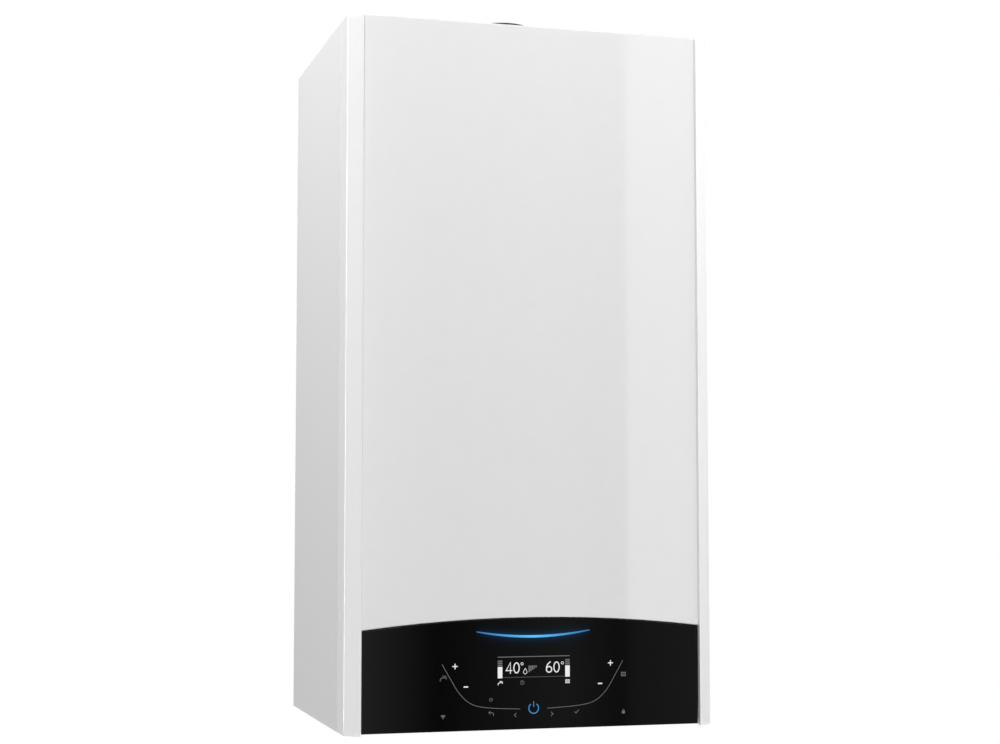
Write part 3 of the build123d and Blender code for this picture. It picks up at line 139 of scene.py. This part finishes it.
def glint(name, place, target, size, power, node):
    """A lamp that lights one node alone, and shows there only as a reflection."""
    lamp = area_lamp(name, place, target, size, power, only=(node,))
    lamp.visible_diffuse = False
    return lamp


def seen_by_eye(tree):
    """1 for rays that the eye, a mirror or glass sends out, and 0 for the rays that carry light."""
    path = tree.nodes.new("ShaderNodeLightPath")
    total = path.outputs["Is Camera Ray"]
    for name in ("Is Glossy Ray", "Is Transmission Ray"):
        add = tree.nodes.new("ShaderNodeMath")
        add.operation = "MAXIMUM"
        tree.links.new(total, add.inputs[0])
        tree.links.new(path.outputs[name], add.inputs[1])
        total = add.outputs[0]
    return total


def make_world():
    world = bpy.data.worlds.new("studio")
    bpy.context.scene.world = world
    world.use_nodes = True
    tree = world.node_tree
    tree.nodes.clear()
    out = tree.nodes.new("ShaderNodeOutputWorld")
    room = tree.nodes.new("ShaderNodeBackground")
    room.inputs["Color"].default_value = WHITE
    room.inputs["Strength"].default_value = ROOM_LIGHT
    white = tree.nodes.new("ShaderNodeBackground")
    white.inputs["Color"].default_value = WHITE
    white.inputs["Strength"].default_value = 1.0
    mix = tree.nodes.new("ShaderNodeMixShader")
    tree.links.new(seen_by_eye(tree), mix.inputs[0])
    tree.links.new(room.outputs[0], mix.inputs[1])
    tree.links.new(white.outputs[0], mix.inputs[2])
    tree.links.new(mix.outputs[0], out.inputs["Surface"])


def make_floor():
    bpy.ops.mesh.primitive_plane_add(size=FLOOR_SIZE, location=(0, 0, CASE_BOTTOM - FLOOR_DROP))
    floor = bpy.context.object
    floor.name = "floor"
    material = bpy.data.materials.new("floor")
    material.use_nodes = True
    tree = material.node_tree
    tree.nodes.clear()
    out = tree.nodes.new("ShaderNodeOutputMaterial")
    pale = tree.nodes.new("ShaderNodeBsdfDiffuse")
    pale.inputs["Color"].default_value = FLOOR_COLOUR
    white = tree.nodes.new("ShaderNodeEmission")
    mix = tree.nodes.new("ShaderNodeMixShader")
    tree.links.new(seen_by_eye(tree), mix.inputs[0])
    tree.links.new(pale.outputs[0], mix.inputs[1])
    tree.links.new(white.outputs[0], mix.inputs[2])
    tree.links.new(mix.outputs[0], out.inputs["Surface"])
    floor.data.materials.append(material)


def card(name, left, right, steps, depth=CARD_Y):
    """A strip of card from left to right, which glows by its steps for mirrors alone."""
    middle = ((left + right) / 2, depth, 0)
    bpy.ops.mesh.primitive_plane_add(size=1, location=middle, rotation=(math.pi / 2, 0, 0))
    strip = bpy.context.object
    strip.name = name
    strip.scale = (right - left, CARD_HEIGHT, 1)
    strip.visible_camera = False
    strip.visible_diffuse = False
    strip.visible_shadow = False
    material = bpy.data.materials.new(name)
    material.use_nodes = True
    tree = material.node_tree
    tree.nodes.clear()
    place = tree.nodes.new("ShaderNodeTexCoord")
    split = tree.nodes.new("ShaderNodeSeparateXYZ")
    tree.links.new(place.outputs["Generated"], split.inputs[0])
    ramp = tree.nodes.new("ShaderNodeValToRGB")
    while len(ramp.color_ramp.elements) < len(steps):
        ramp.color_ramp.elements.new(0.5)
    for element, (position, level) in zip(ramp.color_ramp.elements, steps):
        element.position = position
        element.color = (level, level, level, 1)
    tree.links.new(split.outputs["X"], ramp.inputs[0])
    glow = tree.nodes.new("ShaderNodeEmission")
    tree.links.new(ramp.outputs[0], glow.inputs["Color"])
    out = tree.nodes.new("ShaderNodeOutputMaterial")
    tree.links.new(glow.outputs[0], out.inputs["Surface"])
    strip.data.materials.append(material)


def make_stage():
    make_world()
    make_floor()
    card("card_left", CARD_LEFT, CARD_EDGE, CARD_STEPS)
    card("card_right", CARD_EDGE, CARD_RIGHT, CARD_STEPS_BEYOND)
    card("card_side", SIDE_CARD_LEFT, SIDE_CARD_RIGHT, SIDE_CARD_STEPS, SIDE_CARD_Y)
    for name, place, target, size, power, choice in LAMPS:
        area_lamp(name, place, target, size, power, **choice)
    glint("corner_lamp", CORNER_PLACE, CORNER_TARGET, CORNER_SIZE, CORNER_POWER, "left_trim")
    place = (STRIP_X, CARD_Y + STRIP_LIFT, 0)
    size = (STRIP_WIDTH, CARD_HEIGHT)
    strip = glint("strip_lamp", place, (STRIP_X, 0, 0), size, STRIP_POWER, "front_panel")
    strip.visible_camera = False


# Materials. Noise mostly lies between its low and its high value.
NOISE_LOW = 0.3
NOISE_HIGH = 0.7
ROUGHNESS_CHANGE = 0.1
COAT_ROUGHNESS = 0.04


def new_material(name):
    material = bpy.data.materials.new(name)
    material.use_nodes = True
    return material, material.node_tree, material.node_tree.nodes["Principled BSDF"]


def noise(tree, scale, detail=3.0, stretch=(1, 1, 1)):
    """Noise in metres of the object's own space; stretch draws it out along an axis."""
    place = tree.nodes.new("ShaderNodeTexCoord")
    mapping = tree.nodes.new("ShaderNodeMapping")
    mapping.inputs["Scale"].default_value = stretch
    texture = tree.nodes.new("ShaderNodeTexNoise")
    texture.inputs["Scale"].default_value = scale
    texture.inputs["Detail"].default_value = detail
    tree.links.new(place.outputs["Object"], mapping.inputs[0])
    tree.links.new(mapping.outputs[0], texture.inputs["Vector"])
    return texture.outputs["Fac"]


def spread(tree, source, low, high):
    """The source's usual range, spread over the range from low to high."""
    node = tree.nodes.new("ShaderNodeMapRange")
    node.inputs["From Min"].default_value = NOISE_LOW
    node.inputs["From Max"].default_value = NOISE_HIGH
    node.inputs["To Min"].default_value = low
    node.inputs["To Max"].default_value = high
    tree.links.new(source, node.inputs["Value"])
    return node.outputs["Result"]


def tint(tree, source, colour, change):
    """The colour, lightened and darkened by up to change as the source varies."""
    ramp = tree.nodes.new("ShaderNodeValToRGB")
    ramp.color_ramp.elements[0].position = NOISE_LOW
    ramp.color_ramp.elements[1].position = NOISE_HIGH
    ramp.color_ramp.elements[0].color = [c * (1 - change) for c in colour] + [1]
    ramp.color_ramp.elements[1].color = [min(1, c * (1 + change)) for c in colour] + [1]
    tree.links.new(source, ramp.inputs[0])
    return ramp.outputs[0]


def bump(tree, source, height, principled):
    node = tree.nodes.new("ShaderNodeBump")
    node.inputs["Strength"].default_value = 1.0
    node.inputs["Distance"].default_value = height
    tree.links.new(source, node.inputs["Height"])
    tree.links.new(node.outputs[0], principled.inputs["Normal"])


def surface(name, colour, rough, metal=0.0, change=0.04, scale=60, grain=0, grain_height=0, stretch=(1, 1, 1),
            coat=0.0, specular=0.5):
    """One finish: a varied colour, a varied roughness and, where grain is given, a fine bump."""
    material, tree, principled = new_material(name)
    cloud = noise(tree, scale, stretch=stretch)
    tree.links.new(tint(tree, cloud, colour, change), principled.inputs["Base Color"])
    rough_cloud = spread(tree, cloud, rough * (1 - ROUGHNESS_CHANGE), rough * (1 + ROUGHNESS_CHANGE))
    tree.links.new(rough_cloud, principled.inputs["Roughness"])
    principled.inputs["Metallic"].default_value = metal
    principled.inputs["Specular IOR Level"].default_value = specular
    principled.inputs["Coat Weight"].default_value = coat
    principled.inputs["Coat Roughness"].default_value = COAT_ROUGHNESS
    if grain:
        bump(tree, noise(tree, grain, 2.0, stretch), grain_height, principled)
    return material


def value(tree, operation, *sources):
    """A Math node fed with sockets or numbers; gives its result."""
    node = tree.nodes.new("ShaderNodeMath")
    node.operation = operation
    for socket, source in zip(node.inputs, sources):
        if isinstance(source, (int, float)):
            socket.default_value = source
        else:
            tree.links.new(source, socket)
    return node.outputs[0]


# The status light, an arc that hangs between its two ends, in metres.
LIGHT_HALF = 61.5 * MM
LIGHT_MIDDLE_Z = CASE_BOTTOM + 97.1 * MM
LIGHT_RISE = 5.7 * MM
# The painted glow on the fascia where the status light would light it: its reach above and below the arc, where it
# ends along the arc, how fast it falls off, its strength and its colour.
PAINTED_GLOW_REACH = 2.6 * MM
PAINTED_GLOW_END = 1.08
PAINTED_GLOW_FALL = 3.0
PAINTED_GLOW_STRENGTH = 0.16
PAINTED_GLOW_COLOUR = (0.0, 0.20, 0.55, 1)
LIGHT_MIDDLE_COLOUR = (0.08, 0.50, 0.88, 1)
LIGHT_END_COLOUR = (0.004, 0.16, 0.46, 1)
LIGHT_END_FADE = 0.35


def light_places(tree):
    """Distance along the light arc, as a share of its half length, and height above the arc in metres."""
    place = tree.nodes.new("ShaderNodeTexCoord")
    split = tree.nodes.new("ShaderNodeSeparateXYZ")
    tree.links.new(place.outputs["Object"], split.inputs[0])
    share = value(tree, "DIVIDE", value(tree, "ABSOLUTE", split.outputs["X"]), LIGHT_HALF)
    level = value(tree, "MULTIPLY_ADD", value(tree, "POWER", share, 2.0), LIGHT_RISE, LIGHT_MIDDLE_Z)
    return share, value(tree, "SUBTRACT", split.outputs["Z"], level)


def fascia_finish():
    """Gloss black plastic, with a painted glow where the status light would throw its light on it."""
    material = surface("black_gloss", (0.0016, 0.0016, 0.0019), 0.055, change=0.1, specular=0.2)
    tree = material.node_tree
    principled = tree.nodes["Principled BSDF"]
    share, above = light_places(tree)
    near = value(tree, "EXPONENT", value(tree, "DIVIDE", value(tree, "ABSOLUTE", above), -PAINTED_GLOW_REACH))
    fall = value(tree, "POWER", share, PAINTED_GLOW_FALL)
    fade = value(tree, "MAXIMUM", value(tree, "SUBTRACT", PAINTED_GLOW_END, fall), 0.0)
    # Painted glow: the fascia itself emits light near the status light's arc.
    principled.inputs["Emission Color"].default_value = PAINTED_GLOW_COLOUR
    glow = value(tree, "MULTIPLY", value(tree, "MULTIPLY", near, fade), PAINTED_GLOW_STRENGTH)
    tree.links.new(glow, principled.inputs["Emission Strength"])
    return material


def light_finish():
    """The status light: brightest in the middle and fading towards its ends."""
    material, tree, principled = new_material("light_guide")
    share, _ = light_places(tree)
    ramp = tree.nodes.new("ShaderNodeValToRGB")
    ramp.color_ramp.elements[0].color = LIGHT_MIDDLE_COLOUR
    ramp.color_ramp.elements[1].color = LIGHT_END_COLOUR
    tree.links.new(share, ramp.inputs[0])
    tree.links.new(ramp.outputs[0], principled.inputs["Emission Color"])
    fading = value(tree, "MULTIPLY_ADD", share, -LIGHT_END_FADE, 1.0)
    tree.links.new(fading, principled.inputs["Emission Strength"])
    principled.inputs["Base Color"].default_value = (0.01, 0.05, 0.12, 1)
    principled.inputs["Roughness"].default_value = 0.3
    return material


FINISHES = {
    "white_paint": surface("white_paint", (0.862, 0.862, 0.862), 0.32, change=0.006, coat=0.6, specular=0.05),
    "white_trim": surface("white_trim", (0.92, 0.92, 0.92), 0.22, change=0.006, coat=0.5),
    "felt": surface("felt", (0.45, 0.45, 0.43), 0.95, change=0.25, scale=300, grain=1500, grain_height=2e-4),
    "zinc": surface("zinc", (0.62, 0.64, 0.66), 0.36, 1.0, change=0.10, scale=45),
    "black_gloss": fascia_finish(),
    "light_guide": light_finish(),
    "black_plastic": surface("black_plastic", (0.012, 0.012, 0.013), 0.42, change=0.2, grain=2500, grain_height=2e-5),
    "grey_plastic": surface("grey_plastic", (0.30, 0.31, 0.33), 0.45, change=0.05, grain=2500, grain_height=2e-5),
    "board": surface("board", (0.01, 0.09, 0.035), 0.35, change=0.3, scale=220),
    "rubber": surface("rubber", (0.015, 0.015, 0.015), 0.7, change=0.2, grain=1500, grain_height=3e-5),
    "stainless": surface("stainless", (0.62, 0.61, 0.59), 0.24, 1.0, change=0.06, scale=30, stretch=(1, 8, 1)),
    "cast_alloy": surface("cast_alloy", (0.52, 0.53, 0.54), 0.48, 1.0, change=0.08, grain=700, grain_height=8e-5),
    "ceramic": surface("ceramic", (0.78, 0.75, 0.68), 0.4, change=0.05),
    "steel_pipe": surface("steel_pipe", (0.50, 0.50, 0.48), 0.38, 1.0, change=0.1, scale=80),
    "brass": surface("brass", (0.60, 0.42, 0.17), 0.28, 1.0, change=0.08, scale=80),
    "red_plastic": surface("red_plastic", (0.45, 0.012, 0.01), 0.35, change=0.08),
    "grey_paint": surface("grey_paint", (0.16, 0.165, 0.175), 0.4, change=0.05, grain=900, grain_height=1e-5),
    "copper": surface("copper", (0.66, 0.28, 0.15), 0.26, 1.0, change=0.12, scale=40),
}


def dress_nodes():
    """Gives every CAD node the finish of its slot in the record."""
    for part in frame["record"]["subparts"]:
        node = nodes[part["node"]]
        node.data.materials.clear()
        node.data.materials.append(FINISHES[part["material_slot"]])


# The signs printed behind the fascia, in millimetres from its middle and from the lower edge of the case.
FASCIA_Y = FRONT_Y + PANEL_RECESS
PRINT_LIFT = 0.05 * MM
MITRE_LIMIT = 1.6


def on_fascia(x, z):
    return Vector((x * MM, FASCIA_Y - PRINT_LIFT, CASE_BOTTOM + z * MM))


def moved(points, x, z, size=1.0):
    return [(x + size * px, z + size * pz) for px, pz in points]


def arc(x, z, rx, rz, start, end, steps=24):
    """Points on an ellipse from one angle to another, in degrees."""
    turns = [math.radians(start + (end - start) * n / steps) for n in range(steps + 1)]
    return [(x + rx * math.cos(t), z + rz * math.sin(t)) for t in turns]


def smooth(points, steps=10):
    """A rounded line through points, as cubic stretches whose slopes follow their neighbours."""
    ends = [points[0]] + list(points) + [points[-1]]
    line = []
    for a, b, c, d in zip(ends, ends[1:], ends[2:], ends[3:]):
        for n in range(steps):
            t = n / steps
            weights = (-t + 2 * t**2 - t**3, 2 - 5 * t**2 + 3 * t**3, t + 4 * t**2 - 3 * t**3, t**3 - t**2)
            line.append(tuple(sum(w * p[i] for w, p in zip(weights, (a, b, c, d))) / 2 for i in (0, 1)))
    return line + [points[-1]]


def stroke(mesh, points, width):
    """A flat line of the given width, with its corners mitred; it closes where it ends at its start."""
    closed = math.dist(points[0], points[-1]) < 1e-6
    pairs = []
    last = len(points) - 1
    for n, point in enumerate(points):
        before = points[last - 1] if closed and n == 0 else points[max(n - 1, 0)]
        after = points[1] if closed and n == last else points[min(n + 1, last)]
        ways = []
        for a, b in ((before, point), (point, after)):
            length = math.dist(a, b)
            if length > 1e-9:
                ways.append(((b[0] - a[0]) / length, (b[1] - a[1]) / length))
        across = (-sum(w[1] for w in ways), sum(w[0] for w in ways))
        size = math.hypot(*across)
        reach = width / size * min(2.0 / size, MITRE_LIMIT) * len(ways) / 2
        side = (across[0] * reach / 2, across[1] * reach / 2)
        pairs.append([mesh.verts.new(on_fascia(point[0] + k * side[0], point[1] + k * side[1])) for k in (1, -1)])
    for (a, b), (c, d) in zip(pairs, pairs[1:]):
        mesh.faces.new((a, b, d, c))


def patch(mesh, points):
    """A flat filled shape."""
    mesh.faces.new([mesh.verts.new(on_fascia(*point)) for point in points])


def bar(mesh, x, z):
    """A filled rectangle between the limits of x and z."""
    patch(mesh, [(x[0], z[0]), (x[1], z[0]), (x[1], z[1]), (x[0], z[1])])


def zero(mesh, x, z, width):
    stroke(mesh, arc(x, z, 2.9, 5.2, 0, 360, 36), width)


def four(mesh, x, z, width):
    stroke(mesh, moved([(1.4, -5.9), (1.4, 5.7), (-3.3, -2.6), (3.4, -2.6)], x, z), width)


def six(mesh, x, z, width):
    stroke(mesh, arc(x, z - 2.3, 2.9, 2.9, 0, 360, 36), width)
    stroke(mesh, smooth(moved([(-2.9, -2.3), (-2.3, 1.4), (-0.6, 3.9), (1.7, 5.6)], x, z)), width)


def tap(mesh, x, z, size, width):
    stroke(mesh, smooth(moved([(-3.2, -3.0), (-3.0, -0.6), (-1.4, 0.6), (0.2, 0.6)], x, z, size)), width)
    body = [(0.2, 0.6), (3.2, 0.6)]
    stem = [(1.0, 0.6), (1.0, 2.6)]
    handle = [(-0.8, 2.6), (2.8, 2.6)]
    flange = [(3.4, -1.0), (3.4, 2.2)]
    for line in (body, stem, handle, flange):
        stroke(mesh, moved(line, x, z, size), width)


def radiator(mesh, x, z, size, width):
    for n in range(4):
        column = -2.7 + 1.8 * n
        stroke(mesh, moved([(column, -2.8), (column, 2.8)], x, z, size), width)
    for level in (-1.9, 1.9):
        stroke(mesh, moved([(-3.2, level), (3.2, level)], x, z, size), width * 0.8)


def flame(mesh, x, z, size, width):
    drop = [(0, 3.2), (-1.7, 0.4), (-1.9, -1.5), (0, -3.0), (1.9, -1.5), (1.7, 0.4), (0, 3.2)]
    stroke(mesh, smooth(moved(drop, x, z, size), 6), width)


def wireless(mesh, x, z, size, width):
    for radius in (1.4, 2.8, 4.2):
        stroke(mesh, arc(x, z - 2.0 * size, radius * size, radius * size, 45, 135, 12), width)
    patch(mesh, arc(x, z - 2.0 * size, 0.6 * size, 0.6 * size, 0, 345, 12))


def padlock(mesh, x, z, size, width):
    bar(mesh, (x - 1.8 * size, x + 1.8 * size), (z - 2.4 * size, z + 0.4 * size))
    stroke(mesh, arc(x, z + 0.4 * size, 1.1 * size, 1.7 * size, 0, 180, 12), width)


def clock(mesh, x, z, size, width):
    stroke(mesh, arc(x, z, 2.3 * size, 2.3 * size, 0, 360), width)
    stroke(mesh, moved([(0, 1.5), (0, 0), (1.1, 0)], x, z, size), width)


def power(mesh, x, z, size, width):
    stroke(mesh, arc(x, z, 2.4 * size, 2.4 * size, 125, 415), width)
    stroke(mesh, moved([(0, 0.6), (0, 3.2)], x, z, size), width)


def plus(mesh, x, z):
    bar(mesh, (x - 2.8, x + 2.8), (z - 0.5, z + 0.5))
    bar(mesh, (x - 0.5, x + 0.5), (z - 2.8, z + 2.8))


def minus(mesh, x, z):
    bar(mesh, (x - 2.4, x + 2.4), (z - 0.65, z + 0.65))


def print_group(name, finish, draw):
    """One piece of print on the fascia, which tilts with the control box."""
    mesh = bmesh.new()
    draw(mesh)
    for face in mesh.faces:
        face.normal_update()
        if face.normal.y > 0:
            face.normal_flip()
    data = bpy.data.meshes.new(name)
    mesh.to_mesh(data)
    mesh.free()
    piece = bpy.data.objects.new(name, data)
    bpy.context.collection.objects.link(piece)
    data.materials.append(finish)
    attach(piece, "control_box")


# The curved line beside the keys, on one side, and the columns of the two level bars.
SIDE_CURVE = [(98.4, 70.3), (89.6, 55.2), (79.8, 39.8), (67.0, 28.9), (49.0, 24.6), (14.6, 22.5)]
LEVEL_COLUMNS = ((-38.9, -33.9), (34.5, 39.5))
DIGIT_HEIGHT = 64.9
DIGIT_STROKE = 1.15


def draw_white(mesh):
    """What shines white: the figures, the level bars and the plus and minus signs."""
    four(mesh, -26.6, DIGIT_HEIGHT, DIGIT_STROKE)
    zero(mesh, -18.6, DIGIT_HEIGHT, DIGIT_STROKE)
    six(mesh, 16.8, DIGIT_HEIGHT, DIGIT_STROKE)
    zero(mesh, 25.0, DIGIT_HEIGHT, DIGIT_STROKE)
    for x in (-12.6, 31.4):
        stroke(mesh, arc(x, 69.0, 1.25, 1.25, 0, 360), 0.6)
    for column in LEVEL_COLUMNS:
        bar(mesh, column, (54.6, 66.3))
    for side in (-1, 1):
        plus(mesh, side * 84.6, 67.8)
        minus(mesh, side * 73.0, 46.6)
    flame(mesh, -9.2, 61.2, 0.95, 0.55)
    tap(mesh, -36.2, 49.6, 0.7, 0.75)
    radiator(mesh, 37.0, 49.8, 0.72, 0.8)


def draw_grey(mesh):
    """What shines dimly: frames, side curves and the smaller signs."""
    bar(mesh, (-39.0, 39.3), (75.9, 76.7))
    stroke(mesh, [(-33.0, 55.2), (34.5, 55.2)], 0.4)
    for side in (-1, 1):
        stroke(mesh, smooth([(side * x, z) for x, z in SIDE_CURVE]), 0.55)
    for n in range(3):
        low = 67.2 + 2.1 * n
        for column in LEVEL_COLUMNS:
            bar(mesh, column, (low, low + 1.4))
    for n in range(5):
        bar(mesh, (-5.6 + 1.9 * n, -4.2 + 1.9 * n), (60.2 + 1.2 * n, 67.0))
    tap(mesh, -97.2, 55.8, 0.95, 0.6)
    radiator(mesh, 99.0, 55.8, 0.85, 0.75)
    clock(mesh, -12.4, 49.6, 0.85, 0.45)
    wireless(mesh, -97.2, 16.6, 0.8, 0.65)
    padlock(mesh, 98.8, 16.8, 0.9, 0.6)
    clock(mesh, -46.2, 32.8, 0.7, 0.4)
    stroke(mesh, smooth([(-43.6, 16.2), (-43.6, 18.6), (-45.4, 19.6), (-48.2, 19.6)]), 0.6)
    stroke(mesh, [(-46.8, 21.2), (-48.6, 19.6), (-46.8, 18.0)], 0.6)
    for side in (-1, 1):
        stroke(mesh, [(side * 18.8, 18.6), (side * 20.9, 16.5), (side * 18.8, 14.4)], 0.7)
    stroke(mesh, [(44.6, 18.2), (46.2, 16.6), (49.4, 20.0)], 0.7)


def draw_blue(mesh):
    """The sign of the main switch."""
    power(mesh, 0, 22.9, 2.2, 1.0)


def lit(name, colour, strength):
    """A print that is lit from behind, a little unevenly."""
    material, tree, principled = new_material(name)
    cloud = noise(tree, 400)
    tree.links.new(tint(tree, cloud, colour, 0.05), principled.inputs["Emission Color"])
    principled.inputs["Emission Strength"].default_value = strength
    principled.inputs["Base Color"].default_value = (0.01, 0.01, 0.01, 1)
    principled.inputs["Roughness"].default_value = 0.25
    return material


def print_fascia():
    print_group("print_white", lit("print_white", (0.95, 0.97, 1.0), 0.85), draw_white)
    print_group("print_grey", lit("print_grey", (0.80, 0.85, 0.88), 0.16), draw_grey)
    print_group("print_blue", lit("print_blue", (0.025, 0.30, 0.66), 0.9), draw_blue)


make_camera()
make_stage()
dress_nodes()
print_fascia()
bpy.context.scene.view_settings.view_transform = "Standard"
